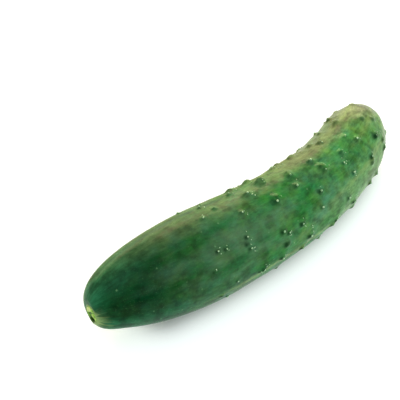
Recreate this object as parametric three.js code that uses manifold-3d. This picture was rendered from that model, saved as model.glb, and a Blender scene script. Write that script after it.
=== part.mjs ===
// A slicing cucumber as picked, with its stalk pulled off, lying on its side on a flat surface.
// It is one grown solid: a tapering, bowed body with three faint lobes, warts raised from its skin,
// a torn scar where the stalk was and a small corky scar where the flower was.
// Millimetres, +Z up. The fruit lies along X with its stem end at -X, bowed in the horizontal plane
// with the outside of the bend towards -Y, and it rests on z = 0 under the middle of its own box.
import * as THREE from "three";
import { mergeVertices } from "three/addons/utils/BufferGeometryUtils.js";
import Module from "manifold-3d";

const wasm = await Module();
wasm.setup();

// Body: a straight taper whose two ends are rounded off, along an axis that bends more and more.
const AXIS_LENGTH = 228; // stalk scar to flower scar, along the axis
const STEM_TAPER_RADIUS = 28.7; // what the taper would measure at the stem end, were it not rounded off
const BLOSSOM_TAPER_RADIUS = 19.2; // the same at the blossom end
const STEM_NOSE = { length: 76, ease: 1.6, blunt: 2.44 };
const BLOSSOM_NOSE = { length: 34, ease: 2.05, blunt: 2.37 };
const BEND = THREE.MathUtils.degToRad(50); // from the stem end's heading to the blossom end's
const BEND_POWER = 3; // the bend gathers towards the blossom end
const STEM_HEADING = THREE.MathUtils.degToRad(-12.3); // puts the line between the ends along X
const STEM_TIP = { x: -112, y: 16.3 }; // centres the fruit's box on the origin

// Cross-section: three lobes with a flat between two of them underneath, and ribs over them.
const LOBES = 3; // one of them on top
const LOBE_SHARE = 0.012; // of the radius, out at a lobe and in between lobes
const RIBS = 10; // with a furrow underneath
const RIB_SHARE = 0.004;

// Underside: three low places round the weight, each pressed flat where the fruit lies.
const PRESSED_DEPTH = 0.3;
const LOW_PLACE = 76; // distance along the axis of the first low place
const LOW_PLACE_SPACING = 58;
const HOLLOW_BETWEEN = 0.7; // how far the underside lifts between two low places

// Mesh of the body.
const RINGS = 36;
const SIDES = 32;
const AXIS_STEPS = 456; // steps that the axis is summed over, two to a millimetre

// Warts: low mounds in rows along the fruit, with none on the stem quarter.
const WART_ROWS = 18;
const WARTS_START = 62;
const WARTS_END = 217;
const WART_PITCH = 19; // mean distance along a row
const WART_WANDER = 0.5; // radians, the width of the strip that a row keeps to
const WART_GROWTH = 45; // distance over which they reach full size
const WART_SEED = 145637;
const WART_SIDES = 6;
const WART_PROFILE = [
  [0, -1.6],
  [2.3, -1.6],
  [3.2, -0.6],
  [1.6, 0.7],
  [0, 1.3],
]; // radius and height over the skin of a full-sized wart, root to tip

// Stalk scar: the nose sliced flat beside its tip, with a raised rim round a torn, sunken middle.
const STALK_SCAR_OFFSET = 3; // from the axis
const STALK_SCAR_ANGLE = THREE.MathUtils.degToRad(215); // low on the outside of the bend
const STALK_SCAR_SINK = 0.7; // of the slice under the skin
const STALK_SCAR_SLICE = [
  [0, 0],
  [9, 0],
  [9, 4],
  [0, 4],
];
const STALK_SCAR_RIM = [
  [0, -1.6],
  [4.7, -1.6],
  [5.9, -0.9],
  [5.2, 0.15],
  [4.3, 0.35],
  [0, 0.35],
];
const STALK_SCAR_DISH = [
  [0, -0.8],
  [2.7, -0.6],
  [4.1, 0.6],
  [0, 0.6],
];

// Blossom scar: a small corky button at the tip of the other end.
const BLOSSOM_SCAR = [
  [0, -2],
  [2.6, -2],
  [3.3, -0.5],
  [2.5, 0.35],
  [1.2, 0.2],
  [0, 0.2],
];
const SCAR_SIDES = 14;

// Draws from 0 to 1 that any language repeats exactly.
function makeDraw(seed) {
  let state = seed;
  return () => {
    state = (state * 1664525 + 1013904223) % 4294967296;
    return state / 4294967296;
  };
}

const heading = (s) => STEM_HEADING + BEND * (s / AXIS_LENGTH) ** BEND_POWER;

const taper = (s) => THREE.MathUtils.lerp(STEM_TAPER_RADIUS, BLOSSOM_TAPER_RADIUS, s / AXIS_LENGTH);

// Share of the taper's radius at a distance from an end: 0 at the tip, 1 where the nose ends.
function rounding(distance, nose) {
  const left = 1 - Math.min(distance / nose.length, 1);
  return (1 - left ** nose.ease) ** (1 / nose.blunt);
}

// The axis's plan, summed along its heading once: points at even steps from the stem tip.
const axisPlan = [new THREE.Vector2(STEM_TIP.x, STEM_TIP.y)];
for (let i = 0; i < AXIS_STEPS; i++) {
  const turn = heading(((i + 0.5) * AXIS_LENGTH) / AXIS_STEPS);
  const step = new THREE.Vector2(Math.cos(turn), Math.sin(turn));
  axisPlan.push(axisPlan[i].clone().addScaledVector(step, AXIS_LENGTH / AXIS_STEPS));
}

// The axis at distance s, with its directions: along it, to its left and square to both.
function axisFrame(s) {
  const place = (s / AXIS_LENGTH) * AXIS_STEPS;
  const i = Math.min(Math.floor(place), AXIS_STEPS - 1);
  const plan = axisPlan[i].clone().lerp(axisPlan[i + 1], place - i);
  const lift = taper(s) * (1 - LOBE_SHARE) - PRESSED_DEPTH;
  const fall = ((BLOSSOM_TAPER_RADIUS - STEM_TAPER_RADIUS) * (1 - LOBE_SHARE)) / AXIS_LENGTH;
  const along = new THREE.Vector3(Math.cos(heading(s)), Math.sin(heading(s)), fall).normalize();
  const left = new THREE.Vector3(-Math.sin(heading(s)), Math.cos(heading(s)), 0);
  return { centre: new THREE.Vector3(plan.x, plan.y, lift), along, left, up: along.clone().cross(left) };
}

// Radius of the skin at distance s and angle u, which runs from the left, over the top, to the right.
function skinRadius(s, u) {
  const round = rounding(s, STEM_NOSE) * rounding(AXIS_LENGTH - s, BLOSSOM_NOSE);
  const lobes = LOBE_SHARE * Math.cos(LOBES * (u - Math.PI / 2));
  const ribs = RIB_SHARE * Math.cos(RIBS * u);
  const down = Math.max(0, -Math.sin(u)) ** 8;
  const between = (1 - Math.cos((2 * Math.PI * (s - LOW_PLACE)) / LOW_PLACE_SPACING)) / 2;
  return taper(s) * round * (1 + lobes + ribs) - HOLLOW_BETWEEN * between * down * round;
}

function skinPoint(s, u) {
  const { centre, left, up } = axisFrame(s);
  const r = skinRadius(s, u);
  return centre.addScaledVector(left, r * Math.cos(u)).addScaledVector(up, r * Math.sin(u));
}

function skinNormal(s, u) {
  const step = 0.05;
  const alongSkin = skinPoint(s + step, u).sub(skinPoint(s - step, u));
  const roundSkin = skinPoint(s, u + step / 10).sub(skinPoint(s, u - step / 10));
  return roundSkin.cross(alongSkin).normalize();
}

// A closed geometry as a solid: shared vertices merged and the collapsed faces at its poles dropped.
function solidOf(geometry) {
  geometry.deleteAttribute("normal");
  geometry.deleteAttribute("uv");
  const merged = mergeVertices(geometry, 1e-4);
  const faces = [];
  for (let i = 0; i < merged.index.count; i += 3) {
    const [a, b, c] = [0, 1, 2].map((k) => merged.index.getX(i + k));
    if (a !== b && b !== c && a !== c) faces.push(a, b, c);
  }
  const vertProperties = new Float32Array(merged.attributes.position.array);
  return new wasm.Manifold(new wasm.Mesh({ numProp: 3, vertProperties, triVerts: new Uint32Array(faces) }));
}

// The body: rings of skin points between the two tips, closer together where the noses curve most.
function makeBody() {
  const points = [axisFrame(0).centre];
  for (let i = 1; i <= RINGS; i++) {
    const s = (AXIS_LENGTH * (1 - Math.cos((Math.PI * i) / (RINGS + 1)))) / 2;
    for (let j = 0; j < SIDES; j++) points.push(skinPoint(s, (2 * Math.PI * j) / SIDES));
  }
  points.push(axisFrame(AXIS_LENGTH).centre);
  const last = points.length - 1;
  const faces = [];
  for (let j = 0; j < SIDES; j++) {
    const next = (j + 1) % SIDES;
    faces.push(0, 1 + next, 1 + j);
    for (let i = 0; i < RINGS - 1; i++) {
      const [a, b] = [1 + i * SIDES + j, 1 + i * SIDES + next];
      faces.push(a, b, a + SIDES, b, b + SIDES, a + SIDES);
    }
    faces.push(last, 1 + (RINGS - 1) * SIDES + j, 1 + (RINGS - 1) * SIDES + next);
  }
  return solidOf(new THREE.BufferGeometry().setFromPoints(points).setIndex(faces));
}

// A turned piece set on a point, its axis along the normal there.
function makeTurned(profile, sides, size, point, normal, turn = 0) {
  const outline = profile.map(([radius, height]) => new THREE.Vector2(radius * size, height * size));
  const upright = new THREE.Quaternion().setFromUnitVectors(new THREE.Vector3(0, 1, 0), normal);
  const place = new THREE.Matrix4().compose(point, upright, new THREE.Vector3(1, 1, 1));
  return solidOf(new THREE.LatheGeometry(outline, sides).rotateY(turn).applyMatrix4(place));
}

// Where the warts stand: each row is walked from the stem side, with a draw for each step.
function wartSites() {
  const draw = makeDraw(WART_SEED);
  const sites = [];
  for (let row = 0; row < WART_ROWS; row++) {
    let s = WARTS_START + WART_PITCH * draw();
    while (s < WARTS_END) {
      const u = (2 * Math.PI * row) / WART_ROWS + WART_WANDER * (draw() - 0.5);
      const grown = Math.min(1, 0.5 + (0.5 * (s - WARTS_START)) / WART_GROWTH);
      sites.push({ s, u, size: grown * (0.7 + 0.5 * draw()), turn: Math.PI * draw() });
      s += WART_PITCH * (0.6 + 0.8 * draw());
    }
  }
  return sites;
}

function makeWarts() {
  return wartSites().map(({ s, u, size, turn }) =>
    makeTurned(WART_PROFILE, WART_SIDES, size, skinPoint(s, u), skinNormal(s, u), turn),
  );
}

// The distance from the stem tip at which the stem nose has a given radius.
function stemNoseAt(radius) {
  const share = 1 - (radius / STEM_TAPER_RADIUS) ** STEM_NOSE.blunt;
  return STEM_NOSE.length * (1 - share ** (1 / STEM_NOSE.ease));
}

function addScars(body) {
  const s = stemNoseAt(STALK_SCAR_OFFSET);
  const normal = skinNormal(s, STALK_SCAR_ANGLE);
  const centre = skinPoint(s, STALK_SCAR_ANGLE).addScaledVector(normal, -STALK_SCAR_SINK);
  const end = axisFrame(AXIS_LENGTH);
  return body
    .subtract(makeTurned(STALK_SCAR_SLICE, SCAR_SIDES, 1, centre, normal))
    .add(makeTurned(STALK_SCAR_RIM, SCAR_SIDES, 1, centre, normal))
    .subtract(makeTurned(STALK_SCAR_DISH, SCAR_SIDES, 1, centre, normal))
    .add(makeTurned(BLOSSOM_SCAR, SCAR_SIDES, 1, end.centre, end.along));
}

// The surface that the fruit lies on, which presses its low places flat.
function makeGround() {
  return solidOf(new THREE.BoxGeometry(2 * AXIS_LENGTH, AXIS_LENGTH, 20).translate(0, 0, -10));
}

function geometryOf(solid) {
  const mesh = solid.getMesh();
  return new THREE.BufferGeometry()
    .setAttribute("position", new THREE.BufferAttribute(new Float32Array(mesh.vertProperties), 3))
    .setIndex(new THREE.BufferAttribute(new Uint32Array(mesh.triVerts), 1));
}

const skin = new THREE.MeshStandardMaterial({ color: 0x1f5a2c, roughness: 0.42, metalness: 0 });
const warted = makeWarts().reduce((whole, wart) => whole.add(wart), addScars(makeBody()));
const cucumber = new THREE.Mesh(geometryOf(warted.subtract(makeGround())), skin);
cucumber.name = "cucumber";

const part = new THREE.Group();
part.add(cucumber);
export default part;
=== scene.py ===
import math

import bpy
import numpy as np
from mathutils import Matrix, Vector, noise


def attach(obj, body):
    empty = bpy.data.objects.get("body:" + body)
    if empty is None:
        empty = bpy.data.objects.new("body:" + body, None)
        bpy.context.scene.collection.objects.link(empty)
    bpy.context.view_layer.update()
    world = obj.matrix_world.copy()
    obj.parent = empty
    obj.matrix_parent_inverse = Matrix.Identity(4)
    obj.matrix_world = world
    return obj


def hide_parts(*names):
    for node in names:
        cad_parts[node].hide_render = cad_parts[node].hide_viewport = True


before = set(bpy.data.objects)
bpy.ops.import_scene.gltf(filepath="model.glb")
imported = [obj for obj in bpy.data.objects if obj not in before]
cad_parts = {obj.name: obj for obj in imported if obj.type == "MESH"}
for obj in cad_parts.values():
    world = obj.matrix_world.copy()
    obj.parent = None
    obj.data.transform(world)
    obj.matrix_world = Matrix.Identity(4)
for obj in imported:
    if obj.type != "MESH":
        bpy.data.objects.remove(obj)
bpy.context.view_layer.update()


# ---- The view ----
# A long lens looks down at the fruit from its stem end and from the outside of its bend, so that
# the stem end comes low on the left of the view and the blossom end high on the right.
VIEW_AIM = Vector((-0.0138, 0.0310, 0.0250))
VIEW_DISTANCE = 0.700
VIEW_AZIMUTH = math.radians(-46.3)  # 0 looks along +Y
VIEW_ELEVATION = math.radians(45)
LENS_MM = 113.2
SENSOR_MM = 36
CLIP_START = 0.01

AWAY = Vector((-math.sin(VIEW_AZIMUTH), math.cos(VIEW_AZIMUTH), 0))
UP = Vector((0, 0, 1))


def aimed_at(target, place):
    """The turn that points a camera's or a lamp's -Z at the target, its top kept upwards."""
    return (target - place).to_track_quat("-Z", "Y").to_euler()


view_out = UP * math.sin(VIEW_ELEVATION) - AWAY * math.cos(VIEW_ELEVATION)
view_place = VIEW_AIM + VIEW_DISTANCE * view_out
bpy.ops.object.camera_add(location=view_place, rotation=aimed_at(VIEW_AIM, view_place))
camera = bpy.context.object
camera.name = "camera"
camera.data.lens = LENS_MM
camera.data.sensor_width = SENSOR_MM
camera.data.clip_start = CLIP_START
bpy.context.scene.camera = camera


# ---- The fruit ----
# A cucumber grown as one piece: a bowed, tapering body with three faint lobes under a thin waxy skin,
# which is raised in warts. It is dark and smooth at the stem end, lighter and rougher at the other.
MM = 0.001
AXIS_LENGTH = 228 * MM  # from tip to tip, along the bend
STEM_TAPER_RADIUS = 28.7 * MM  # what the taper would measure there, were the end not rounded off
BLOSSOM_TAPER_RADIUS = 19.2 * MM
STEM_NOSE = (76 * MM, 1.6, 2.44)  # length, ease and bluntness of the rounding at that end
BLOSSOM_NOSE = (34 * MM, 2.05, 2.37)
BEND = math.radians(50)  # from the stem end's heading to the blossom end's
BEND_POWER = 3  # the bend gathers towards the blossom end
STEM_HEADING = math.radians(-12.3)
STEM_TIP = (-112 * MM, 16.3 * MM)  # X and Y
AXIS_STEPS = 456
LOBES = 3  # one of them on top
LOBE_SHARE = 0.012  # of the radius
RIBS = 10
RIB_SHARE = 0.004
PRESSED_DEPTH = 0.3 * MM  # of the low places that the fruit lies on
LOW_PLACE = 76 * MM
LOW_PLACE_SPACING = 58 * MM
HOLLOW_BETWEEN = 0.7 * MM
UNDERSIDE_SHARPNESS = 8  # keeps the hollows between low places to a strip underneath


def heading(s):
    """The way that the axis points at distance s, turned from +X."""
    return STEM_HEADING + BEND * (s / AXIS_LENGTH) ** BEND_POWER


def taper(s):
    """The radius at distance s, with the ends not yet rounded off."""
    return STEM_TAPER_RADIUS + (BLOSSOM_TAPER_RADIUS - STEM_TAPER_RADIUS) * s / AXIS_LENGTH


def rounding(distance, nose):
    """Share of the taper's radius at a distance from an end: 0 at the tip, 1 where the nose ends."""
    length, ease, blunt = nose
    left = 1 - np.clip(distance / length, 0, 1)
    return (1 - left**ease) ** (1 / blunt)


def end_rounding(s):
    """Share of the taper's radius that both ends leave at distance s."""
    return rounding(s, STEM_NOSE) * rounding(AXIS_LENGTH - s, BLOSSOM_NOSE)


axis_step = AXIS_LENGTH / AXIS_STEPS
step_turns = heading((np.arange(AXIS_STEPS) + 0.5) * axis_step)
axis_x = STEM_TIP[0] + np.append(0, np.cumsum(np.cos(step_turns))) * axis_step
axis_y = STEM_TIP[1] + np.append(0, np.cumsum(np.sin(step_turns))) * axis_step
axis_s = np.arange(AXIS_STEPS + 1) * axis_step


def axis_frame(s):
    """Centre of the axis at s, and the directions along it, to its left and up, as rows of numbers."""
    s = np.asarray(s, float)
    turn = heading(s)
    fall = (BLOSSOM_TAPER_RADIUS - STEM_TAPER_RADIUS) * (1 - LOBE_SHARE) / AXIS_LENGTH
    lift = taper(s) * (1 - LOBE_SHARE) - PRESSED_DEPTH
    centre = np.stack([np.interp(s, axis_s, axis_x), np.interp(s, axis_s, axis_y), lift], -1)
    along = np.stack([np.cos(turn), np.sin(turn), np.full_like(turn, fall)], -1)
    along /= np.linalg.norm(along, axis=-1, keepdims=True)
    left = np.stack([-np.sin(turn), np.cos(turn), np.zeros_like(turn)], -1)
    return centre, along, left, np.cross(along, left)


def skin_point(s, u):
    """The skin at distance s and angle u, which runs from the left, over the top, to the right."""
    centre, along, left, up = axis_frame(s)
    lobes = LOBE_SHARE * np.cos(LOBES * (u - math.pi / 2))
    ribs = RIB_SHARE * np.cos(RIBS * u)
    down = np.maximum(0, -np.sin(u)) ** UNDERSIDE_SHARPNESS
    between_lows = (1 - np.cos(2 * math.pi * (s - LOW_PLACE) / LOW_PLACE_SPACING)) / 2
    full_radius = taper(s) * (1 + lobes + ribs) - HOLLOW_BETWEEN * between_lows * down
    radius = full_radius * end_rounding(s)
    across = left * np.cos(u)[..., None] + up * np.sin(u)[..., None]
    return centre + across * radius[..., None]


def skin_normal(s, u):
    """The direction out of the skin at distance s and angle u."""
    step = 0.05 * MM
    turn_step = 0.005
    along_skin = skin_point(s + step, u) - skin_point(s - step, u)
    round_skin = skin_point(s, u + turn_step) - skin_point(s, u - turn_step)
    normal = np.cross(round_skin, along_skin)
    return normal / np.linalg.norm(normal, axis=-1, keepdims=True)


# The grid starts as a globe whose poles are the two tips. Its rings are then spread over the skin's own
# length, evenly but for the stem tip, where the scar takes more than twice as many.
SKIN_SEGMENTS = 248
SKIN_RINGS = 400
PROFILE_STEPS = 4000
SCAR_MORE_RINGS = 1.3
SCAR_RINGS_REACH = 13 * MM
TIP_GAP = 0.06 * MM  # from a tip to where its normals are taken

bpy.ops.object.select_all(action="DESELECT")
bpy.ops.mesh.primitive_uv_sphere_add(segments=SKIN_SEGMENTS, ring_count=SKIN_RINGS, radius=1)
skin = bpy.context.object
skin.name = "skin"
globe = np.empty(len(skin.data.vertices) * 3)
skin.data.vertices.foreach_get("co", globe)
globe = globe.reshape(-1, 3)
ring_share = np.arccos(np.clip(-globe[:, 2], -1, 1)) / math.pi
around = np.arctan2(globe[:, 1], globe[:, 0])

fine_s = AXIS_LENGTH * (1 - np.cos(np.linspace(0, math.pi, PROFILE_STEPS + 1))) / 2
run_steps = np.hypot(np.diff(fine_s), np.diff(taper(fine_s) * end_rounding(fine_s)))
stem_share = np.exp(-((np.cumsum(run_steps) / SCAR_RINGS_REACH) ** 2))
run = np.append(0, np.cumsum(run_steps * (1 + SCAR_MORE_RINGS * stem_share)))
skin_s = np.interp(ring_share * run[-1], run, fine_s)
place = skin_point(skin_s, around)
normal = skin_normal(np.clip(skin_s, TIP_GAP, AXIS_LENGTH - TIP_GAP), around)

# Slow swells and ripples over all of the skin, stronger where it is warty. The blossom end is fuller
# on the side towards the top, and the stem end is fuller low on the outside of the bend.
SWELL_HEIGHT = 0.45 * MM
SWELL_SCALE = 75
RIPPLE_HEIGHT = 0.18 * MM
RIPPLE_SCALE = 230
RIPPLE_SHIFT = Vector((7, 1, 4))
ROUGH_START = 40 * MM
ROUGH_GROWTH = 90 * MM
SMOOTH_SHARE = 0.15  # of the swells, where the skin is smoothest
TIP_FULLER = 1.0 * MM
TIP_FULLER_START = 190 * MM
TIP_FULLER_GROWTH = 22 * MM
TIP_SIDE = math.radians(120)
NOSE_FULLER = 2.0 * MM
NOSE_S = 4 * MM
NOSE_SIDE = math.radians(228)
NOSE_REACH = 10 * MM


def grown_in(distance, start, growth):
    """0 up to the start, 1 from where the growth ends, and even in between."""
    return np.clip((distance - start) / growth, 0, 1)


nose_place = skin_point(NOSE_S, NOSE_SIDE)
nose_out = skin_normal(NOSE_S, NOSE_SIDE)


def nose_fullness(points):
    """The move of points towards the fuller, lower side of the stem end."""
    distance = np.linalg.norm(points - nose_place, axis=-1) / NOSE_REACH
    return nose_out * (NOSE_FULLER * np.exp(-(distance**2)))[..., None]


rough_share = np.maximum(SMOOTH_SHARE, grown_in(skin_s, ROUGH_START, ROUGH_GROWTH))
swell = np.array([noise.noise(Vector(p) * SWELL_SCALE) for p in place])
ripple = np.array([noise.noise(Vector(p) * RIPPLE_SCALE + RIPPLE_SHIFT) for p in place])
fuller_tip = grown_in(skin_s, TIP_FULLER_START, TIP_FULLER_GROWTH) * np.maximum(0, np.cos(around - TIP_SIDE))
raise_by = rough_share * (SWELL_HEIGHT * swell + RIPPLE_HEIGHT * ripple) + TIP_FULLER * fuller_tip
place += normal * raise_by[:, None]
place += nose_fullness(place)

# Warts in rows, each a low dome on a slow swelling, leaning towards the blossom end, with dark green painted
# on the side that it leans from: partly the wart's own darker skin, partly painted shade. Up to four pimples
# stand beside each.
WART_ROWS = 18
WARTS_START = 62 * MM  # along the fruit
WARTS_END = 217 * MM
WART_PITCH = 19 * MM  # mean distance along a row
WART_STEPS = (0.6, 1.4)  # of the pitch
WART_WANDER = 0.5  # radians, the width of the strip that a row keeps to
WART_YOUNG = 0.5  # of full size, at the start
WART_GROWTH = 45 * MM  # distance over which they reach full size
WART_SIZES = (0.7, 1.2)
WART_SEED = 145637
WART_RADIUS = 2.8 * MM  # where a full-sized wart runs out into the skin
WART_HEIGHT = 0.85 * MM
WART_BLUNTNESS = 2.4
WART_LEAN = 0.2  # towards the blossom end, per height
WORN_START = 125 * MM  # from where the warts of one side are lower
WORN_GROWTH = 40 * MM
WORN_SIDE = math.radians(20)
WORN_SHARE = 0.45
PAD_RADIUS = 5.2 * MM  # of the slow swelling that a wart stands on
PAD_SIZES = (0.75, 1.25)
PAD_HEIGHT = 0.40 * MM
FULL_SIDE = math.radians(75)  # where the swellings are fullest, and the warts' painted shade is lightest
FULL_FALL = 1.6
FULLER = 0.45 * MM
SHADE_RADIUS = 2.7 * MM  # of the painted shade, partly darker skin, on the side of a wart that it leans from
SHADE_BEHIND = 0.9 * MM
SHADE_FADE = 2 * MM
SHADE_EDGE = 0.35
SHADE_RING_RADIUS = 2.3 * MM
SHADE_RING_SHARE = 0.55
SHADE_DARKNESS = (0.65, 1.0)
SHADE_LEFT_OUT = 0.6  # at the full side
LEAST_MARK = 0.35  # of full size, for the shade and the spine of a very small wart
SPINE_CHANCE = 0.85
SPINES_LEFT_OUT = 0.4  # at the full side
PIMPLES_SEED = 7
MOST_PIMPLES = 4
PIMPLE_REACH = (1.9 * MM, 5.0 * MM)
PIMPLE_SPREAD = math.radians(150)
PIMPLE_RADIUS = 0.75 * MM
PIMPLE_HEIGHT = 0.25 * MM
PIMPLE_SPINE = 0.3  # at most, of a full-sized wart's


def draws(seed):
    """Numbers from 0 to 1, the same in each run and in any language."""
    factor, shift, span = 1664525, 1013904223, 2**32
    state = seed
    while True:
        state = (state * factor + shift) % span
        yield state / span


def between(ends, share):
    """The number a share of the way from one end to the other."""
    return ends[0] + (ends[1] - ends[0]) * share


def mark_size(size):
    """The size of what a wart carries, which shrinks less than the wart."""
    return LEAST_MARK + (1 - LEAST_MARK) * size


def wart_sites():
    """Distance, angle and size of each wart: every row is walked from the stem side."""
    draw = draws(WART_SEED)
    sites = []
    for row in range(WART_ROWS):
        s = WARTS_START + WART_PITCH * next(draw)
        while s < WARTS_END:
            u = 2 * math.pi * row / WART_ROWS + WART_WANDER * (next(draw) - 0.5)
            grown = min(1, WART_YOUNG + (1 - WART_YOUNG) * (s - WARTS_START) / WART_GROWTH)
            sites.append((s, u, grown * between(WART_SIZES, next(draw))))
            next(draw)  # the turn that the same wart has in the CAD solid
            s += WART_PITCH * between(WART_STEPS, next(draw))
    return np.array(sites)


smooth_place = place.copy()


def raised(centre, radius, bluntness=2):
    """The skin within a radius of a centre, and the height there of a dome of 1, which is 0 at the edge."""
    distance = np.linalg.norm(smooth_place - centre, axis=1) / radius
    near = np.nonzero(distance < 1)[0]
    return near, (1 - distance[near] ** bluntness) ** 2


sites = wart_sites()
site_place = skin_point(sites[:, 0], sites[:, 1])
site_out = skin_normal(sites[:, 0], sites[:, 1])
site_along = axis_frame(sites[:, 0])[1]
painted_shade_mask = np.zeros(len(place))
spine_feet = []  # each a place, a direction and a size
draw = draws(PIMPLES_SEED)
for (s, u, size), point, out, onward in zip(sites, site_place, site_out, site_along):
    worn = grown_in(s, WORN_START, WORN_GROWTH) * max(0, math.cos(u - WORN_SIDE)) ** 4
    size *= 1 - WORN_SHARE * worn
    full = math.cos(min(FULL_FALL * abs(u - FULL_SIDE), math.pi / 2))
    lean = out + WART_LEAN * onward
    swelling = PAD_HEIGHT + FULLER * full
    near, height = raised(point, PAD_RADIUS * size * between(PAD_SIZES, next(draw)))
    place[near] += out * (size * swelling * height)[:, None]
    near, height = raised(point, WART_RADIUS * size, WART_BLUNTNESS)
    place[near] += lean * (size * WART_HEIGHT * height)[:, None]

    mark = mark_size(size)
    darkness = between(SHADE_DARKNESS, next(draw)) * (1 - SHADE_LEFT_OUT * full)
    near, height = raised(point - onward * SHADE_BEHIND * size, SHADE_RADIUS * mark)
    behind = np.clip(SHADE_EDGE - (smooth_place[near] - point) @ onward / SHADE_FADE, 0, 1)
    painted_shade_mask[near] = np.maximum(painted_shade_mask[near], height * behind * darkness)
    near, height = raised(point, SHADE_RING_RADIUS * mark)
    painted_shade_mask[near] = np.maximum(painted_shade_mask[near], SHADE_RING_SHARE * height * darkness)

    if next(draw) < SPINE_CHANCE - SPINES_LEFT_OUT * full:
        spine_feet.append((point + out * size * swelling + lean * size * WART_HEIGHT, lean, size))
    for _ in range(int(next(draw) * (MOST_PIMPLES + 1))):
        reach = between(PIMPLE_REACH, next(draw))
        turn = PIMPLE_SPREAD * (next(draw) - 0.5)
        beside = np.cross(out, onward)
        foot = point + size * reach * (onward * math.cos(turn) + beside * math.sin(turn))
        nearest = np.argmin(np.linalg.norm(smooth_place - foot, axis=1))
        foot = smooth_place[nearest]
        lift = place[nearest] - foot
        near, height = raised(foot, PIMPLE_RADIUS)
        place[near] += out * (PIMPLE_HEIGHT * height)[:, None]
        spine_feet.append((foot + lift + out * PIMPLE_HEIGHT, out, PIMPLE_SPINE * next(draw)))

# The bed of the stalk scar: the nose is cut flat beside its tip, and has a low rim round a shallow dish.
# The skin round it is yellowed, in streaks on its near side, and the rim is torn in one place, where painted
# shade darkens it.
STALK_SCAR_OFFSET = 3.0 * MM  # from the axis
STALK_SCAR_ANGLE = math.radians(215)
STALK_SCAR_SINK = 1.2 * MM  # of the cut under the skin
SCAR_LOWER = np.array([-0.04, -0.81, -0.59])  # directions from the middle of the scar
SCAR_AWAY = np.array([0.09, 0.58, -0.81])
SCAR_TILT = 0.13  # of the cut, away from the lower side
SCAR_LUMPS = 0.08  # share by which the scar's outline is uneven
SCAR_LUMP_SCALE = 330
CUT_REACH = 9 * MM
CUT_BACK = -3 * MM  # the skin further back than this is left alone
CUT_SOFTNESS = 0.12 * MM
RIM_RADIUS = 4.9 * MM
RIM_WIDTH = 0.5 * MM
RIM_HEIGHT = 0.28 * MM
RIM_LOWER_WIDER = 0.8  # shares by which its lower part is wider and higher
RIM_LOWER_HIGHER = 1.0
DISH_RADIUS = 4.6 * MM
DISH_FLOOR_RADIUS = 3.9 * MM
DISH_DEPTH = 1.8 * MM
GOUGE_PLACE = (2.9 * MM, 3.9 * MM)  # lower and away: where the stalk tore a piece out of the rim
GOUGE_SIZE = (2.3 * MM, 2.1 * MM)
GOUGE_DEPTH = 0.15 * MM
HALO_WIDTH = 0.7 * MM  # of the yellowed skin
HALO_REACH = 30 * MM  # the skin further out or further back than this stays green
HALO_BACK = -16 * MM
STREAK_WAY = np.array([-0.09, -0.99, -0.08])  # towards the side on which it runs out in streaks
STREAK_WIDTH = 4.0 * MM
STREAK_REACH = 5 * MM
STREAK_SHARE = 0.6
STREAK_FALL = 1.5
STREAK_STRENGTHS = (0.10, 1.0)
BEYOND_STRENGTHS = (0.45, 1.0)
STREAKS = 38
STREAK_WAVES = 9
STREAK_WANDER = 3
SCAR_MIDDLE = 0.1 * MM  # nearer to it than this, a direction has no meaning


def nose_at(radius, nose, full):
    """The distance from the tip at which a nose has a given radius."""
    length, ease, blunt = nose
    return length * (1 - (1 - (radius / full) ** blunt) ** (1 / ease))


def mound(lower, away, middle, size, lower_power=2):
    """A smooth mound of 1 on the scar, round a middle and of a size that are both lower and away."""
    lower_part = ((lower - middle[0]) / size[0]) ** lower_power
    away_part = ((away - middle[1]) / size[1]) ** 2
    return np.exp(-lower_part - away_part)


scar_s = nose_at(STALK_SCAR_OFFSET, STEM_NOSE, STEM_TAPER_RADIUS)
scar_out = skin_normal(scar_s, STALK_SCAR_ANGLE) - SCAR_TILT * SCAR_LOWER
scar_out /= np.linalg.norm(scar_out)
scar_centre = skin_point(scar_s, STALK_SCAR_ANGLE)
scar_centre = scar_centre + nose_fullness(scar_centre) - STALK_SCAR_SINK * scar_out
from_scar = place - scar_centre
height = from_scar @ scar_out
sideways = from_scar - height[:, None] * scar_out
aside = np.linalg.norm(sideways, axis=1)
aside *= 1 + SCAR_LUMPS * np.array([noise.noise(Vector(p) * SCAR_LUMP_SCALE) for p in place])

lower_rim = np.clip(from_scar @ SCAR_LOWER / RIM_RADIUS, 0, 1)
rim_width = RIM_WIDTH * (1 + RIM_LOWER_WIDER * lower_rim)
rim_height = RIM_HEIGHT * (1 + RIM_LOWER_HIGHER * lower_rim)
rim = rim_height * np.exp(-(((aside - RIM_RADIUS) / rim_width) ** 2))
into_dish = np.clip((DISH_RADIUS - aside) / (DISH_RADIUS - DISH_FLOOR_RADIUS), 0, 1)
dish = DISH_DEPTH * into_dish**2 * (3 - 2 * into_dish)
gouge = mound(from_scar @ SCAR_LOWER, from_scar @ SCAR_AWAY, GOUGE_PLACE, GOUGE_SIZE)
cut = -CUT_SOFTNESS * np.logaddexp(0, -height / CUT_SOFTNESS)
at_scar = (aside < CUT_REACH) & (height > CUT_BACK)
move = np.where(at_scar, cut + rim - dish - height - GOUGE_DEPTH * gouge, 0)
place += move[:, None] * scar_out

way = sideways / np.maximum(aside, SCAR_MIDDLE)[:, None]
way_turn = np.arctan2(way[:, 1], way[:, 2])
wave = np.sin(STREAKS * way_turn + STREAK_WANDER * np.sin(STREAK_WAVES * way_turn))
streak_strength = between(STREAK_STRENGTHS, (1 + wave) / 2)
near_side = np.clip(way @ STREAK_WAY, 0, 1)
past_rim = np.maximum(0, aside - RIM_RADIUS)
halo_width = HALO_WIDTH + STREAK_WIDTH * near_side**3 * streak_strength
halo = np.exp(-((past_rim / halo_width) ** 2))
beyond = np.exp(-((past_rim / STREAK_REACH) ** 2)) * near_side
beyond = STREAK_SHARE * beyond**STREAK_FALL * between(BEYOND_STRENGTHS, streak_strength)
halo = np.maximum(halo, beyond)
near_scar = (height > HALO_BACK) & (aside < HALO_REACH)

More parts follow.
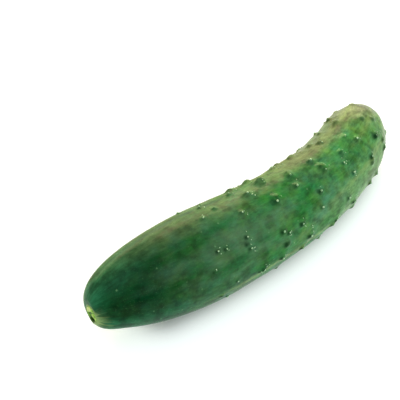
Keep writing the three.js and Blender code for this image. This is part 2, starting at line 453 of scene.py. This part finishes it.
place[:, 2] = np.maximum(place[:, 2], 0)
skin.data.vertices.foreach_set("co", place.ravel())
skin.data.update()
bpy.ops.object.mode_set(mode="EDIT")
bpy.ops.mesh.select_all(action="SELECT")
bpy.ops.mesh.normals_make_consistent(inside=False)
bpy.ops.object.mode_set(mode="OBJECT")
bpy.ops.object.shade_smooth()

# The skin's colours lie in zones, which its points carry as shares from 0 to 1. Pale stripes run from
# the blossom end. The inner and outer sides are paler than the top, partly in their own colour and partly
# as a painted reflection; the stem end is lighter low down, on its far side and at its tip as painted
# light; the blossom end's top has a painted highlight; and wax greys one place, with a painted grey sheen.
STRIPES = 9
STRIPE_ANGLE = math.radians(193)
STRIPE_SHARPNESS = 5
STRIPE_STARTS = ((20, 65, 105, 180), (170, 130, 45, 30))  # degrees from the top, and mm along
STRIPE_GROWTH = 40 * MM
INNER_SIDE = math.radians(30)  # the middle of the paler side inside the bend, with its painted reflection
INNER_HALVES = ((70, 90, 110, 150, 185, 200, 210), (74, 82, 63, 66, 64, 74, 92))  # mm along, and degrees
INNER_SHARES = ((8, 45, 75, 105, 145), (0.10, 0.30, 0.20, 0.33, 1.0))
INNER_EDGE = math.radians(22)
TIP_TOP_HALF = math.radians(106)
TIP_TOP_EDGE = math.radians(25)
TIP_TOP_START = 196 * MM
TIP_TOP_GROWTH = 16 * MM
OUTER_STARTS = ((105, 150, 180, 200), (180, 146, 146, 137))
OUTER_RISE = ((0, 8, 28, 48), (0.0, 0.66, 0.76, 1.0))  # degrees past the start, and shares
OUTER_SHARES = ((122, 172, 182, 205), (0.0, 1.0, 1.0, 1.2))
OUTER_END = math.radians(300)
OUTER_FADE = math.radians(40)
LOW_SIDE = math.radians(172)  # where the painted light on the nose's underside starts
LOW_EDGE = math.radians(18)
LOW_SHARE = 0.85
NOSE_HALVES = ((5, 20, 45), (112, 100, 63))
NOSE_EDGE = math.radians(45)
NOSE_SHARE = 0.75
NOSE_FADE = 48 * MM
NOSE_TIP_SHARE = 0.5
NOSE_TIP_FADE = 4.5 * MM
BLOOM_SIDE = math.radians(138)  # where the wax is greyest, with a painted grey sheen
BLOOM_PLACE = 82 * MM
BLOOM_LENGTH = 30 * MM
BLOOM_WIDTH = math.radians(32)


def set_attribute(piece, name, values):
    """Gives each point of a piece a number for its material to read."""
    attribute = piece.data.attributes.new(name, "FLOAT", "POINT")
    attribute.data.foreach_set("value", np.asarray(values, np.float32))


def by_distance(table):
    """What a table of mm along the fruit and values says at each point of the skin."""
    return np.interp(skin_s / MM, *table)


def turned_from(middle):
    """The angle from a line along the fruit to each point of the skin, on either side."""
    return np.abs((around - middle + math.pi) % (2 * math.pi) - math.pi)


def within(turned, half, edge):
    """1 well within a zone's half width, 0 past it, and even in between."""
    return np.clip((half - turned) / edge, 0, 1)


set_attribute(skin, "along", skin_s / AXIS_LENGTH)
# painted shade on the warts' stem sides, partly their own darker skin
set_attribute(skin, "painted_shade", painted_shade_mask)
set_attribute(skin, "scar", np.where(near_scar, halo, 0))
# painted shade in the torn place of the rim
set_attribute(skin, "gouge", np.where(near_scar, gouge, 0))

stripe = np.maximum(0, np.cos(STRIPES * (around - STRIPE_ANGLE))) ** STRIPE_SHARPNESS
stripe_start = np.interp(np.degrees(turned_from(math.pi / 2)), *STRIPE_STARTS) * MM
set_attribute(skin, "stripe", stripe * grown_in(skin_s, stripe_start, STRIPE_GROWTH))

# The inner side: partly its own paler skin, partly a painted reflection of the lamps behind.
from_inner = turned_from(INNER_SIDE)
inner_pale_and_reflection = within(from_inner, np.radians(by_distance(INNER_HALVES)), INNER_EDGE)
set_attribute(skin, "inner_pale_and_reflection", inner_pale_and_reflection * by_distance(INNER_SHARES))
# A painted highlight, with some real paleness, on the top of the blossom end.
tip_top_pale_and_highlight = within(from_inner, TIP_TOP_HALF, TIP_TOP_EDGE)
set_attribute(skin, "tip_top_pale_and_highlight", tip_top_pale_and_highlight * grown_in(skin_s, TIP_TOP_START, TIP_TOP_GROWTH))

full_turn = around % (2 * math.pi)
# The outer side: partly its own paler skin, partly a painted reflection of the floor and the lamps.
outer_pale_and_reflection = np.interp(np.degrees(full_turn) - by_distance(OUTER_STARTS), *OUTER_RISE)
outer_pale_and_reflection *= within(full_turn, OUTER_END, OUTER_FADE) * by_distance(OUTER_SHARES)
set_attribute(skin, "outer_pale_and_reflection", np.clip(outer_pale_and_reflection, 0, 1))

# Painted light on the stem end: lighter low down, on its far side, and at its tip.
low_side = LOW_SHARE * grown_in(full_turn, LOW_SIDE, LOW_EDGE)
away_side = within(from_inner, np.radians(by_distance(NOSE_HALVES)), NOSE_EDGE)
nose_painted_light = NOSE_SHARE * np.exp(-((skin_s / NOSE_FADE) ** 2)) * np.maximum(low_side, away_side)
nose_painted_light += NOSE_TIP_SHARE * np.exp(-((skin_s / NOSE_TIP_FADE) ** 2))
set_attribute(skin, "nose", np.clip(nose_painted_light, 0, 1))

# Wax bloom in one place, with a painted grey sheen.
bloom_along = ((skin_s - BLOOM_PLACE) / BLOOM_LENGTH) ** 2
bloom_around = ((full_turn - BLOOM_SIDE) / BLOOM_WIDTH) ** 2
set_attribute(skin, "bloom_and_sheen", np.exp(-bloom_along - bloom_around))

# Where each point would be on a straight, even fruit, so that streaks in the skin follow its bend.
unbent = np.stack([skin_s, STEM_TAPER_RADIUS * np.cos(around), STEM_TAPER_RADIUS * np.sin(around)], -1)
unbent_places = skin.data.attributes.new("grown", "FLOAT_VECTOR", "POINT")
unbent_places.data.foreach_set("vector", unbent.astype(np.float32).ravel())

PLANT_IOR = 1.45


def feed(socket, source):
    """Leads a node's output to a socket, or sets the socket to a number, a vector or a colour."""
    if isinstance(source, bpy.types.NodeSocket):
        socket.id_data.links.new(source, socket)
    elif socket.type == "RGBA":
        socket.default_value = (*source, 1)
    else:
        socket.default_value = source


class Finish:
    """A new material on a piece, with makers of the nodes that lead to its shader."""

    def __init__(self, piece, name):
        material = bpy.data.materials.new(name)
        material.use_nodes = True
        piece.data.materials.append(material)
        self.nodes = material.node_tree.nodes
        self.shader("IOR", PLANT_IOR)

    def shader(self, socket, source):
        """Leads a colour or a number to a socket of the shader."""
        feed(self.nodes["Principled BSDF"].inputs[socket], source)

    def node(self, kind, inputs=(), **settings):
        """A new node's outputs."""
        made = self.nodes.new(kind)
        for key, value in settings.items():
            setattr(made, key, value)
        for socket, source in dict(inputs).items():
            feed(made.inputs[socket], source)
        return made.outputs

    def coordinates(self):
        return self.node("ShaderNodeTexCoord")["Object"]

    def attribute(self, name):
        return self.node("ShaderNodeAttribute", attribute_name=name)["Fac"]

    def noise(self, vector, scale, detail, roughness=0.5):
        """Soft noise over a vector. The scale is about the number of waves in a metre."""
        inputs = {"Vector": vector, "Scale": scale, "Detail": detail, "Roughness": roughness}
        return self.node("ShaderNodeTexNoise", inputs)["Fac"]

    def ramp(self, source, *stops):
        """A colour ramp over the stops, each a position and a colour or a grey."""
        colour = self.node("ShaderNodeValToRGB", {"Fac": source})["Color"]
        elements = colour.node.color_ramp.elements
        while len(elements) < len(stops):
            elements.new(0.5)
        for element, (position, value) in zip(elements, stops):
            element.position = position
            element.color = (*value, 1) if hasattr(value, "__len__") else (value, value, value, 1)
        return colour

    def mix(self, share, first, second, blend="MIX"):
        """The first colour, with a share of the second over it."""
        inputs = {0: share, 6: first, 7: second}
        return self.node("ShaderNodeMix", inputs, data_type="RGBA", blend_type=blend)[2]

    def times(self, first, second):
        return self.mix(1.0, first, second, "MULTIPLY")

    def bump(self, height, strength, distance):
        """Fine relief, which the shader shows and the mesh doesn't have."""
        inputs = {"Height": height, "Strength": strength, "Distance": distance}
        self.shader("Normal", self.node("ShaderNodeBump", inputs)["Normal"])


STEM_GREEN = (0.0005, 0.040, 0.008)
STEM_GREY_GREEN = (0.018, 0.070, 0.028)
BLOSSOM_GREEN = (0.046, 0.285, 0.062)
BLOSSOM_GREY_GREEN = (0.120, 0.315, 0.120)
TIP_GREEN = (0.16, 0.33, 0.10)
BLUER = (0.78, 0.96, 1.22)
YELLOWER = (1.20, 1.03, 0.78)
NOSE_PAINTED_LIGHT_GREEN = (0.034, 0.215, 0.095)
OUTER_PALE_AND_REFLECTION_GREEN = (0.21, 0.39, 0.16)
INNER_PALE_AND_REFLECTION_GREEN = (0.157, 0.202, 0.088)
TIP_TOP_PALE_AND_HIGHLIGHT_GREEN = (0.27, 0.32, 0.19)
BLOOM_AND_SHEEN_GREEN = (0.115, 0.205, 0.110)
FRECKLE_GREEN = (0.15, 0.34, 0.15)
STRIPE_GREEN = (0.26, 0.40, 0.13)
WART_SHADE_GREEN = (0.002, 0.030, 0.007)
SCAR_GREEN = (0.28, 0.42, 0.15)
GOUGE_SHADE_GREEN = (0.035, 0.105, 0.008)
NO_FRECKLE = (0, 0, 0)

PATCHES = 95  # waves in a metre, and so are the next ones
TINGES = 110
BLOTCHES = 150
FRECKLES = 190
STREAKINGS = 430
MOTTLING = 620
SPECKS = 1500
PATCH_STRETCH = (0.45, 1, 1)  # less than 1 draws a pattern out along the fruit
STREAK_STRETCH = (0.08, 1, 1)
SOFT = 0.55  # how much the finer waves of a noise count
UNEVEN = 0.60
ROUGH = 0.65
WAX_SPECULAR = 0.05
PORE_STRENGTH = 0.15
PORE_DEPTH = 0.1 * MM

wax = Finish(skin, "cucumber_skin")
on_skin = wax.coordinates()
grown = wax.node("ShaderNodeAttribute", attribute_name="grown")["Vector"]
stretched = wax.node("ShaderNodeMapping", {"Vector": grown, "Scale": PATCH_STRETCH})["Vector"]
drawn_out = wax.node("ShaderNodeMapping", {"Vector": grown, "Scale": STREAK_STRETCH})["Vector"]
patches = wax.noise(stretched, PATCHES, 4, SOFT)
tinge = wax.noise(on_skin, TINGES, 3, UNEVEN)
blotches = wax.noise(on_skin, BLOTCHES, 3, SOFT)
streaks = wax.noise(drawn_out, STREAKINGS, 2, SOFT)
mottle = wax.noise(stretched, MOTTLING, 4, ROUGH)
specks = wax.noise(on_skin, SPECKS, 2, SOFT)

# From the stem's green to the blossom end's, each greyer in patches.
along = wax.attribute("along")
greyness = wax.ramp(patches, (0.36, 0.0), (0.64, 1.0))
stem_greyness = wax.times(greyness, wax.ramp(along, (0.05, 0.25), (0.20, 1.0)))
stem_green = wax.mix(stem_greyness, STEM_GREEN, STEM_GREY_GREEN)
blossom_green = wax.mix(greyness, BLOSSOM_GREEN, BLOSSOM_GREY_GREEN)
green = wax.mix(wax.ramp(along, (0.12, 0.0), (0.40, 0.52), (0.85, 0.95)), stem_green, blossom_green)
green = wax.mix(wax.ramp(along, (0.72, 0.0), (0.97, 0.85)), green, TIP_GREEN)
green = wax.times(green, wax.ramp(tinge, (0.34, BLUER), (0.66, YELLOWER)))

# The paler zones: painted light on the nose, paler skin with a painted reflection on the sides, and paler
# skin with a painted highlight on the tip's top.
streaky = wax.ramp(streaks, (0.35, 0.60), (0.65, 0.90))
uneven = wax.ramp(patches, (0.35, 0.35), (0.65, 0.85))
nearly_even = wax.ramp(patches, (0.35, 0.70), (0.65, 0.88))
# painted light on the stem end
green = wax.mix(wax.times(wax.attribute("nose"), streaky), green, NOSE_PAINTED_LIGHT_GREEN)
# paler skin and painted reflection on the outer side
green = wax.mix(wax.times(wax.attribute("outer_pale_and_reflection"), nearly_even), green, OUTER_PALE_AND_REFLECTION_GREEN)
# paler skin and painted reflection inside the bend
green = wax.mix(wax.times(wax.attribute("inner_pale_and_reflection"), nearly_even), green, INNER_PALE_AND_REFLECTION_GREEN)
# paler skin and painted highlight on the blossom end's top
green = wax.mix(wax.times(wax.attribute("tip_top_pale_and_highlight"), uneven), green, TIP_TOP_PALE_AND_HIGHLIGHT_GREEN)

# Blotches and a fine mottle, and the greyish wax over them, which in one place is also a painted grey sheen.
green = wax.times(green, wax.ramp(blotches, (0.36, 0.62), (0.50, 1.0), (0.66, 1.20)))
mottled = wax.times(green, wax.ramp(mottle, (0.30, 0.70), (0.70, 1.27)))
green = wax.mix(wax.ramp(along, (0.15, 0.7), (0.38, 1.0)), green, mottled)
waxy = wax.ramp(patches, (0.35, 0.12), (0.65, 0.55))
green = wax.mix(wax.times(wax.attribute("bloom_and_sheen"), waxy), green, BLOOM_AND_SHEEN_GREEN)

# Small freckles, pale specks, and stripes.
cells = wax.node("ShaderNodeTexVoronoi", {"Vector": on_skin, "Scale": FRECKLES})
cell_draw = wax.node("ShaderNodeSeparateColor", {"Color": cells["Color"]})["Red"]
near_cell = wax.ramp(cells["Distance"], (0.05, 0.55), (0.14, 0.0))
freckle = wax.mix(wax.ramp(cell_draw, (0.55, 0.0), (0.60, 1.0)), NO_FRECKLE, near_cell)
green = wax.mix(freckle, green, FRECKLE_GREEN)
green = wax.mix(wax.ramp(specks, (0.62, 0.0), (0.78, 0.25)), green, FRECKLE_GREEN)
patchy = wax.ramp(mottle, (0.35, 0.15), (0.65, 0.75))
green = wax.mix(wax.times(wax.attribute("stripe"), patchy), green, STRIPE_GREEN)

# The dark sides of warts, partly their own darker skin and partly painted shade, and the skin round the
# scar.
wart_shade = wax.ramp(wax.attribute("painted_shade"), (0.0, 0.0), (0.25, 0.30), (0.7, 0.9))
green = wax.mix(wart_shade, green, WART_SHADE_GREEN)
green = wax.mix(wax.ramp(wax.attribute("scar"), (0.05, 0.0), (0.9, 0.9)), green, SCAR_GREEN)
# painted shade where the rim is torn
green = wax.mix(wax.ramp(wax.attribute("gouge"), (0.25, 0.0), (0.6, 0.95)), green, GOUGE_SHADE_GREEN)

wax.shader("Base Color", green)
wax.shader("Roughness", wax.ramp(blotches, (0.3, 0.20), (0.7, 0.29)))
wax.shader("Specular IOR Level", WAX_SPECULAR)
wax.bump(specks, PORE_STRENGTH, PORE_DEPTH)

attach(skin, "root")
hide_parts("cucumber")


# ---- The spine tips ----
# Most warts and all pimples carry the stub of a broken spine, a pale, dry, rounded peg that the skin
# grips at its foot. Those that would be pressed under the fruit have come off.
SPINE_SIDES = 8
SPINE_FOOT_RADIUS = 0.70 * MM
SPINE_TOP_RADIUS = 0.55 * MM
SPINE_LENGTH = 0.95 * MM
SPINE_ROUNDING = 0.16 * MM
SPINE_SUNK = 0.60 * MM
SPINE_CLEARANCE = 2.5 * MM  # of a spine's foot above the surface that the fruit lies on
SPINE_GREEN = (0.22, 0.46, 0.21)
SPINE_PALE = (0.52, 0.80, 0.47)
SPINE_STAINS = 120
SPINE_ROUGHNESS = 0.40
UPWARD = 0.9  # least Z in the normal of a face that counts as the top


def select_top(piece):
    """Leaves the piece in edit mode with only its upward faces selected."""
    bpy.ops.object.mode_set(mode="EDIT")
    bpy.ops.mesh.select_mode(type="FACE")
    bpy.ops.mesh.select_all(action="DESELECT")
    bpy.ops.object.mode_set(mode="OBJECT")
    for face in piece.data.polygons:
        face.select = face.normal.z > UPWARD
    bpy.ops.object.mode_set(mode="EDIT")


def upright(out):
    """The turn that brings a piece's own +Z to a direction out of the skin."""
    return Vector(out).to_track_quat("Z", "Y").to_matrix()


bpy.ops.object.select_all(action="DESELECT")
bpy.ops.mesh.primitive_cone_add(
    vertices=SPINE_SIDES,
    radius1=SPINE_FOOT_RADIUS,
    radius2=SPINE_TOP_RADIUS,
    depth=SPINE_LENGTH,
    location=(0, 0, 0),
)
spine = bpy.context.object
select_top(spine)
bpy.ops.mesh.bevel(offset=SPINE_ROUNDING, segments=2, affect="EDGES")
bpy.ops.object.mode_set(mode="OBJECT")
bpy.ops.object.shade_smooth()

dry_spine = Finish(spine, "spine_pale")
stain = dry_spine.noise(dry_spine.coordinates(), SPINE_STAINS, 2)
dry_spine.shader("Base Color", dry_spine.ramp(stain, (0.35, SPINE_GREEN), (0.65, SPINE_PALE)))
dry_spine.shader("Roughness", SPINE_ROUGHNESS)

spines = []
for foot, lean, size in spine_feet:
    if foot[2] < SPINE_CLEARANCE:
        continue
    stub = spine.copy()
    stub.data = spine.data.copy()
    scale = mark_size(size)
    middle = Vector(foot) + Vector(lean).normalized() * (SPINE_LENGTH / 2 - SPINE_SUNK) * scale
    stub.data.transform(Matrix.Translation(middle) @ upright(lean).to_4x4() @ Matrix.Scale(scale, 4))
    bpy.context.scene.collection.objects.link(stub)
    spines.append(stub)
bpy.data.objects.remove(spine)
bpy.ops.object.select_all(action="DESELECT")
for stub in spines:
    stub.select_set(True)
bpy.context.view_layer.objects.active = spines[0]
bpy.ops.object.join()
spines = bpy.context.object
spines.name = "spine_tips"
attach(spines, "root")


# ---- The stalk scar ----
# The flesh left bare where the stalk was pulled off: torn and fibrous, cream in its upper part, bright
# green along a ridge below a crack, with a hollow where the stalk's core came out. Its colour follows its
# depth, so that painted shade darkens the crack and the hollow.
FLESH_RADIUS = 4.7 * MM
FLESH_DEPTH = 2.6 * MM
FLESH_SIDES = 56
FLESH_RINGS = 11
FLESH_LIFT = 0.1 * MM  # of the flesh over the cut
FLESH_SINK = 0.15 * MM  # of its surface, before the reliefs
FLESH_EDGE = 0.2  # of the radius, over which the reliefs run out
FLESH_EDGE_SHARE = 0.2  # of them that stays at the edge
RIDGE_MIDDLE = (1.0 * MM, -1.2 * MM)  # lower and away, as the next ones
RIDGE_SIZE = (3.0 * MM, 1.5 * MM)
RIDGE_HEIGHT = 0.40 * MM
HOLLOW_MIDDLE = (3.0 * MM, 3.1 * MM)
HOLLOW_SIZE = (1.9 * MM, 1.9 * MM)
HOLLOW_DEPTH = 1.9 * MM
CRACK_PLACE = 0.9 * MM  # above the middle
CRACK_SLANT = 0.3
CRACK_WIDTH = 0.40 * MM
CRACK_DEPTH = 0.42 * MM
UPPER_START = 8 / 7 * MM  # above the middle, where the upper part starts to stand out
UPPER_GROWTH = 20 / 7 * MM
UPPER_HEIGHT = 0.75 * MM
TEARS = 620
TEARS_SHIFT = Vector((3, 8, 1))
TEAR_HEIGHT = 0.30 * MM
FIBRES = (260, 1200)
FIBRES_SHIFT = 5
FIBRE_HEIGHT = 0.20 * MM
LUMPINESS = (0.9, 2.1)  # how fast finer layers of lumps fade, and how much finer each is
TOP_SLACK = 0.01 * MM
HOLLOW_SHADE_GREEN = (0.018, 0.065, 0.001)
DEEP_SHADE_GREEN = (0.08, 0.25, 0.01)
LIME = (0.28, 0.64, 0.03)
CREAM = (0.95, 0.93, 0.40)
FLESH_FIBRES = 900
FLESH_ROUGHNESS = 0.38
FLESH_SPECULAR = 0.2
FLESH_GRAIN = (0.5, 0.2 * MM)  # strength and depth


def laid_on(piece, centre, out):
    """Moves a piece's mesh so that its own +Z points out of the skin at a place."""
    piece.data.transform(Matrix.Translation(Vector(centre)) @ upright(out).to_4x4())


def ringed_disc(name, radius, depth, sides, rings):
    """A round slab whose top is parted into rings and a small middle face."""
    bpy.ops.object.select_all(action="DESELECT")
    bpy.ops.mesh.primitive_cylinder_add(
        vertices=sides, radius=radius, depth=depth, location=(0, 0, -depth / 2)
    )
    disc = bpy.context.object
    disc.name = name
    select_top(disc)
    for _ in range(rings):
        bpy.ops.mesh.inset(thickness=radius / (rings + 0.5))
    bpy.ops.mesh.poke()
    bpy.ops.object.mode_set(mode="OBJECT")
    bpy.ops.object.transform_apply(location=True, rotation=True, scale=True)
    return disc


to_disc = upright(scar_out).inverted()
lower_way = (to_disc @ Vector(SCAR_LOWER)).xy.normalized()
away_way = (to_disc @ Vector(SCAR_AWAY)).xy.normalized()


def flesh_rise(point):
    """How far the torn flesh stands over its flat disc at a point of it."""
    lower = lower_way.dot(point.xy)
    away = away_way.dot(point.xy)
    ridge = mound(lower, away, RIDGE_MIDDLE, RIDGE_SIZE, lower_power=4)
    hollow = mound(lower, away, HOLLOW_MIDDLE, HOLLOW_SIZE)
    crack = math.exp(-(((lower + CRACK_PLACE + CRACK_SLANT * away) / CRACK_WIDTH) ** 2))
    upper = grown_in(-lower, UPPER_START, UPPER_GROWTH)
    torn = noise.fractal(point * TEARS + TEARS_SHIFT, *LUMPINESS, 4)
    fibre = noise.noise(Vector((point.x * FIBRES[0], point.y * FIBRES[1], FIBRES_SHIFT)))
    rise = RIDGE_HEIGHT * ridge - CRACK_DEPTH * crack + UPPER_HEIGHT * upper
    rise += TEAR_HEIGHT * torn + FIBRE_HEIGHT * fibre - FLESH_SINK
    from_edge = 1 - math.hypot(point.x, point.y) / FLESH_RADIUS
    return rise * min(1, from_edge / FLESH_EDGE + FLESH_EDGE_SHARE) - HOLLOW_DEPTH * hollow


flesh = ringed_disc("stalk_scar", FLESH_RADIUS, FLESH_DEPTH, FLESH_SIDES, FLESH_RINGS)
flesh_depth = []
for vertex in flesh.data.vertices:
    if vertex.co.z > -TOP_SLACK:
        vertex.co.z += flesh_rise(vertex.co)
    flesh_depth.append(vertex.co.z / MM)
set_attribute(flesh, "depth", 0.5 + 0.5 * np.clip(flesh_depth, -1, 1))
laid_on(flesh, scar_centre + scar_out * FLESH_LIFT, scar_out)
bpy.ops.object.shade_smooth()

torn_flesh = Finish(flesh, "torn_flesh")
fibres = torn_flesh.noise(torn_flesh.coordinates(), FLESH_FIBRES, 4)
# Colour by depth: the lowest flesh, in the crack and the hollow, is darkened as painted shade.
colour = torn_flesh.ramp(
    torn_flesh.attribute("depth"),
    (0.15, HOLLOW_SHADE_GREEN),
    (0.38, DEEP_SHADE_GREEN),
    (0.53, LIME),
    (0.80, CREAM),
)
colour = torn_flesh.times(colour, torn_flesh.ramp(fibres, (0.30, 0.70), (0.65, 1.15)))
torn_flesh.shader("Base Color", colour)
torn_flesh.shader("Roughness", FLESH_ROUGHNESS)
torn_flesh.shader("Specular IOR Level", FLESH_SPECULAR)
torn_flesh.bump(fibres, *FLESH_GRAIN)
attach(flesh, "root")


# ---- The blossom scar ----
# The small button left where the dried flower dropped off: dry tan cork, cracked from its middle. It
# follows the skin that it grew from.
CORK_RADIUS = 3.0 * MM
CORK_DEPTH = 0.9 * MM
CORK_SIDES = 42
CORK_RINGS = 6
CORK_RISE = 0.25 * MM
CORK_CRACKS = 7
CORK_CRACK_TWIST = 2  # radians, from the middle to the edge
CORK_CRACK_DEPTH = 0.18 * MM
CORK_LUMPS = 900
CORK_LUMP_HEIGHT = 0.20 * MM
CORK_FALL = 0.35 * MM  # at the edge
DIMPLE_DEPTH = 0.25 * MM
DIMPLE_SIZE = 0.25  # of the radius
CORK_BROWN = (0.10, 0.06, 0.025)
CORK_TAN = (0.34, 0.24, 0.11)
CORK_PALE = (0.52, 0.44, 0.24)
CORK_GRAIN = 1300
CORK_ROUGHNESS = 0.85
CORK_RELIEF = (0.6, 0.2 * MM)  # strength and depth


def cork_rise(point):
    """How far the cork stands over its flat disc at a point of it."""
    reach = math.hypot(point.x, point.y) / CORK_RADIUS
    turn = math.atan2(point.y, point.x)
    crack = max(0, math.cos(CORK_CRACKS * turn + CORK_CRACK_TWIST * reach)) ** 4
    lump = noise.fractal(point * CORK_LUMPS, *LUMPINESS, 3)
    dimple = math.exp(-((reach / DIMPLE_SIZE) ** 2))
    rise = CORK_LUMP_HEIGHT * lump - CORK_CRACK_DEPTH * crack * reach
    return rise - CORK_FALL * reach**3 - DIMPLE_DEPTH * dimple


blossom_end = axis_frame(AXIS_LENGTH)
tip_place, tip_out = blossom_end[0], blossom_end[1]
at_tip = np.linalg.norm(place - tip_place, axis=1) < 2 * CORK_RADIUS
tip_skin = (place[at_tip] - tip_place) @ np.array(upright(tip_out))
cork = ringed_disc("blossom_scar", CORK_RADIUS, CORK_DEPTH, CORK_SIDES, CORK_RINGS)
for vertex in cork.data.vertices:
    under = np.argmin(np.linalg.norm(tip_skin[:, :2] - np.array(vertex.co.xy), axis=1))
    if vertex.co.z > -TOP_SLACK:
        vertex.co.z += cork_rise(vertex.co)
    vertex.co.z += tip_skin[under, 2]
laid_on(cork, tip_place + tip_out * CORK_RISE, tip_out)
bpy.ops.object.shade_smooth()

dry_cork = Finish(cork, "dry_cork")
grain = dry_cork.noise(dry_cork.coordinates(), CORK_GRAIN, 4)
tan = dry_cork.ramp(grain, (0.30, CORK_BROWN), (0.50, CORK_TAN), (0.72, CORK_PALE))
dry_cork.shader("Base Color", tan)
dry_cork.shader("Roughness", CORK_ROUGHNESS)
dry_cork.bump(grain, *CORK_RELIEF)
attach(cork, "root")


# ---- The floor ----
# A light table: its white top glows a little, so that shadows on it are pale, but glows less where the
# fruit lies on it, which paints a soft contact shadow round the fruit.
FLOOR_SIZE = 6
FLOOR_FINE_SIZE = 0.36  # of the part under the fruit, which has all but the outermost points
FLOOR_FINE_CELLS = 110
OUTERMOST = 0.499  # of the fine part's size, from its middle
FLOOR_GLOW = 0.68
FLOOR_GLOW_IN_SHADOW = 0.13
FLOOR_WHITE = (0.58, 0.60, 0.62)
GLOW_WHITE = (0.93, 1.0, 0.98)
FLOOR_ROUGHNESS = 0.9
LAID_START = 45 * MM  # along the fruit
LAID_END = AXIS_LENGTH - 8 * MM
LAID_STEPS = 80
LAID_SHARE = 0.4  # of its half width
PAINTED_SHADOW_WIDTH = 9 * MM

bpy.ops.object.select_all(action="DESELECT")
bpy.ops.mesh.primitive_grid_add(
    x_subdivisions=FLOOR_FINE_CELLS,
    y_subdivisions=FLOOR_FINE_CELLS,
    size=FLOOR_FINE_SIZE,
    location=(0, 0, 0),
)
floor = bpy.context.object
floor.name = "floor"
laid_s = np.linspace(LAID_START, LAID_END, LAID_STEPS)
laid_places = axis_frame(laid_s)[0][:, :2]
laid_half = LAID_SHARE * taper(laid_s) * end_rounding(laid_s)
# The painted contact shadow: the glow fades near where the fruit lies.
painted_shadow = []
for vertex in floor.data.vertices:
    gap = np.min(np.linalg.norm(laid_places - np.array(vertex.co.xy), axis=1) - laid_half)
    painted_shadow.append(math.exp(-((max(0, gap) / PAINTED_SHADOW_WIDTH) ** 2)))
    if max(abs(vertex.co.x), abs(vertex.co.y)) > OUTERMOST * FLOOR_FINE_SIZE:
        vertex.co.xy *= FLOOR_SIZE / FLOOR_FINE_SIZE
set_attribute(floor, "painted_contact_shadow", painted_shadow)

light_table = Finish(floor, "floor_white")
glows = {"Value": light_table.attribute("painted_contact_shadow"), "To Min": FLOOR_GLOW, "To Max": FLOOR_GLOW_IN_SHADOW}
light_table.shader("Base Color", FLOOR_WHITE)
light_table.shader("Roughness", FLOOR_ROUGHNESS)
light_table.shader("Emission Color", GLOW_WHITE)
light_table.shader("Emission Strength", light_table.node("ShaderNodeMapRange", glows)["Result"])


# ---- The card ----
# A dull black card lies on the floor along the inside of the bend and turns up at its far edge. It glows
# pale green to buff, though it is no lamp, for the soft band that it puts into the skin's gloss, and shows
# in nothing else.
CARD_START = -0.020  # along the fruit
CARD_END = 0.222
CARD_STEPS = 24
CARD_WIDTH = 0.046
CARD_LIFT = 0.5 * MM
CARD_EDGE_HEIGHT = 0.038
CARD_GLOW_GREEN = (0.95, 0.95, 0.53)
CARD_GLOW_BUFF = (0.95, 0.92, 0.52)
CARD_BLACK = (0, 0, 0)
CARD_ROUGHNESS = 0.9

bpy.ops.object.select_all(action="DESELECT")
bpy.ops.mesh.primitive_grid_add(
    x_subdivisions=CARD_STEPS, y_subdivisions=2, size=1, location=(0, 0, 0)
)
card = bpy.context.object
card.name = "card"
shares = []
for vertex in card.data.vertices:
    share = vertex.co.x + 0.5
    centre, _, out, _ = axis_frame(CARD_START + (CARD_END - CARD_START) * share)
    past_fruit = vertex.co.y > -0.25  # the two rows that lie out from under it
    turned_up = vertex.co.y > 0.25  # the last of them
    shares.append(share)
    vertex.co = Vector(centre + out * (CARD_WIDTH if past_fruit else 0))
    vertex.co.z = CARD_EDGE_HEIGHT if turned_up else CARD_LIFT
card.visible_camera = False
card.visible_diffuse = False
card.visible_shadow = False
set_attribute(card, "share", shares)

glowing_card = Finish(card, "card_glowing")
glowing_card.shader("Base Color", CARD_BLACK)
glowing_card.shader("Roughness", CARD_ROUGHNESS)
# the glow, not the card's own colour, makes it pale
card_colour = glowing_card.ramp(glowing_card.attribute("share"), (0.4, CARD_GLOW_GREEN), (0.7, CARD_GLOW_BUFF))
glowing_card.shader("Emission Color", card_colour)
glowing_card.shader("Emission Strength", 1)


# ---- The room and the lights ----
# A dim room whose walls look white to the camera. A warm soft box stands behind the fruit, a wide
# straw-coloured one low behind it, and a large white one hangs overhead, a little in front.
ROOM_STRENGTH = 0.03
BACKDROP_STRENGTH = 0.9
WHITE = (1, 1, 1)
WARM = (0.93, 0.66, 0.42)
STRAW = (1.0, 0.98, 0.50)
LAMPS_AIM = Vector((0, 0, 0.02))
TO_THE_RIGHT = Vector((math.cos(VIEW_AZIMUTH), math.sin(VIEW_AZIMUTH), 0))

world = bpy.data.worlds.new("studio")
world.use_nodes = True
studio = world.node_tree.nodes
seen = studio.new("ShaderNodeLightPath").outputs["Is Camera Ray"]
strength = studio.new("ShaderNodeMapRange")
feed(strength.inputs["Value"], seen)
feed(strength.inputs["To Min"], ROOM_STRENGTH)
feed(strength.inputs["To Max"], BACKDROP_STRENGTH)
feed(studio["Background"].inputs["Strength"], strength.outputs["Result"])
feed(studio["Background"].inputs["Color"], WHITE)
bpy.context.scene.world = world
bpy.context.scene.view_settings.view_transform = "Standard"


def add_softbox(name, up, away, right, width, height, watts, colour):
    """A flat rectangular lamp aimed at the fruit, placed as the camera sees the room."""
    place = UP * up + AWAY * away + TO_THE_RIGHT * right
    bpy.ops.object.light_add(type="AREA", location=place, rotation=aimed_at(LAMPS_AIM, place))
    lamp = bpy.context.object
    lamp.name = name
    lamp.data.shape = "RECTANGLE"
    lamp.data.size = width
    lamp.data.size_y = height
    lamp.data.energy = watts
    lamp.data.color = colour


add_softbox(
    "softbox_behind", up=0.90, away=1.42, right=-0.16, width=0.68, height=0.5, watts=17.5, colour=WARM
)
add_softbox("softbox_low", up=0.38, away=1.7, right=-0.5, width=2.6, height=0.75, watts=31, colour=STRAW)
add_softbox("softbox_above", up=1.6, away=-0.60, right=0.5, width=4.0, height=4.0, watts=61, colour=WHITE)
